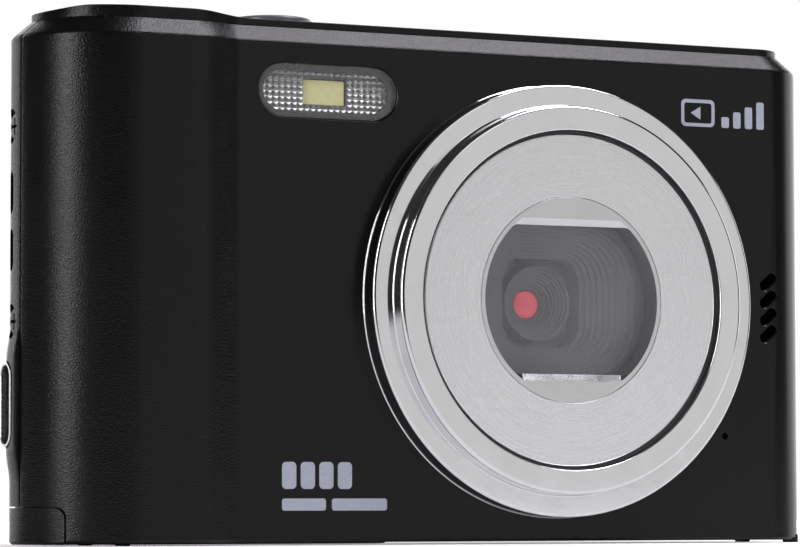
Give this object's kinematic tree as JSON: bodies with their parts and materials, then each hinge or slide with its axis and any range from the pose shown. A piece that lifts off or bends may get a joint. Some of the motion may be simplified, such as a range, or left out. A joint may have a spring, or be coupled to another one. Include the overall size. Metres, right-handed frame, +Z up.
{
  "type": "compact digital camera",
  "caption": "Pocket digital camera with a ringed fixed lens behind a flat window, swollen side grip, flash, rear screen and keys, and a sliding, swinging battery door.",
  "frame": {"origin": "middle of the underside, level with the bottoms of the feet", "axes": "+X to the right as seen from the front, +Y from the lens towards the back, +Z up"},
  "size_m": [0.0952, 0.0208, 0.0573],
  "materials": {
    "black_shell": "satin, fine spark texture",
    "black_key": "satin",
    "chrome_ring": "polished",
    "spun_disc": "fine circular spin lines",
    "clear_window": "clear polished",
    "baffle_black": "matt stepped",
    "coated_lens": "coated",
    "moulded_black": "matt",
    "circuit_board": "solder mask",
    "plated_steel": "plated",
    "display_glass": "glossy",
    "reflector": "dimpled",
    "lamp_yellow": "phosphor",
    "shutter_grey": "satin lacquer",
    "battery_wrap": "printed wrap, blank",
    "bush_brass": "plated"
  },
  "bodies": {
    "casing": {"battery": "battery_wrap", "battery_cage": "moulded_black", "battery_contact_1": "bush_brass", "battery_contact_2": "bush_brass", "battery_contact_3": "bush_brass", "bezel_ring": "chrome_ring", "bottom_screw_middle": "plated_steel", "bottom_screw_right": "plated_steel", "card_socket": "plated_steel", "display_panel": "plated_steel", "display_window": "display_glass", "flash_board": "circuit_board", "flash_led": "lamp_yellow", "flash_reflector": "reflector", "flash_window": "clear_window", "front_cover": "black_shell", "image_sensor": "moulded_black", "key_board": "circuit_board", "lens_baffle": "baffle_black", "lens_barrel": "baffle_black", "lens_disc": "spun_disc", "lens_element": "coated_lens", "lens_holder": "moulded_black", "lens_window": "clear_window", "main_board": "circuit_board", "memory_chip": "moulded_black", "microphone": "plated_steel", "power_switch": "plated_steel", "processor_chip": "moulded_black", "rear_cover": "black_shell", "shutter_switch": "plated_steel", "side_screw_lower": "plated_steel", "side_screw_upper": "plated_steel", "speaker": "moulded_black", "strap_cup": "baffle_black", "top_board": "circuit_board", "top_plate": "black_shell", "tripod_bush": "bush_brass", "usb_port": "plated_steel", "window_frame": "chrome_ring"},
    "shutter": {"shutter_button": "shutter_grey"},
    "power": {"power_button": "black_key"},
    "ok": {"ok_key": "black_key"},
    "pad_rocker": {"pad_pivot": "plated_steel"},
    "pad": {"direction_pad": "black_key"},
    "door_bracket": {"door_slide": "plated_steel", "hinge_pin": "plated_steel"},
    "door": {"battery_door": "black_shell"},
    "zoom_in": {"zoom_in_key": "black_key"},
    "zoom_out": {"zoom_out_key": "black_key"},
    "mode": {"mode_key": "black_key"},
    "playback": {"playback_key": "black_key"},
    "menu": {"menu_key": "black_key"},
    "delete": {"delete_key": "black_key"}
  },
  "joints": [
    {"name": "shutter_press", "type": "slide", "parent": "casing", "child": "shutter", "axis": [0, 0, -1], "range_m": [0, 0.0006], "stiffness_N_per_m": 1200},
    {"name": "power_press", "type": "slide", "parent": "casing", "child": "power", "axis": [0, 0, -1], "range_m": [0, 0.0004], "stiffness_N_per_m": 1500},
    {"name": "zoom_in_press", "type": "slide", "parent": "casing", "child": "zoom_in", "axis": [0, -1, 0], "range_m": [0, 0.0004], "stiffness_N_per_m": 1500},
    {"name": "zoom_out_press", "type": "slide", "parent": "casing", "child": "zoom_out", "axis": [0, -1, 0], "range_m": [0, 0.0004], "stiffness_N_per_m": 1500},
    {"name": "mode_press", "type": "slide", "parent": "casing", "child": "mode", "axis": [0, -1, 0], "range_m": [0, 0.0004], "stiffness_N_per_m": 1500},
    {"name": "playback_press", "type": "slide", "parent": "casing", "child": "playback", "axis": [0, -1, 0], "range_m": [0, 0.0004], "stiffness_N_per_m": 1500},
    {"name": "menu_press", "type": "slide", "parent": "casing", "child": "menu", "axis": [0, -1, 0], "range_m": [0, 0.0004], "stiffness_N_per_m": 1500},
    {"name": "delete_press", "type": "slide", "parent": "casing", "child": "delete", "axis": [0, -1, 0], "range_m": [0, 0.0004], "stiffness_N_per_m": 1500},
    {"name": "ok_press", "type": "slide", "parent": "casing", "child": "ok", "axis": [0, -1, 0], "range_m": [0, 0.0004], "stiffness_N_per_m": 1500},
    {"name": "pad_tilt_up_down", "type": "hinge", "parent": "casing", "child": "pad_rocker", "pos_m": [-0.03005, 0.00705, 0.0243], "axis": [1, 0, 0], "range_deg": [-2.2, 2.2], "stiffness_Nm_per_rad": 0.15},
    {"name": "pad_tilt_left_right", "type": "hinge", "parent": "pad_rocker", "child": "pad", "pos_m": [-0.03005, 0.00705, 0.0243], "axis": [0, 0, 1], "range_deg": [-2.2, 2.2], "stiffness_Nm_per_rad": 0.15},
    {"name": "door_slide_out", "type": "slide", "parent": "casing", "child": "door_bracket", "axis": [-1, 0, 0], "range_m": [0, 0.0035]},
    {"name": "door_swing", "type": "hinge", "parent": "door_bracket", "child": "door", "pos_m": [-0.0064, 0.0019, 0.001], "axis": [0, -1, 0], "range_deg": [0, 90]}
  ]
}
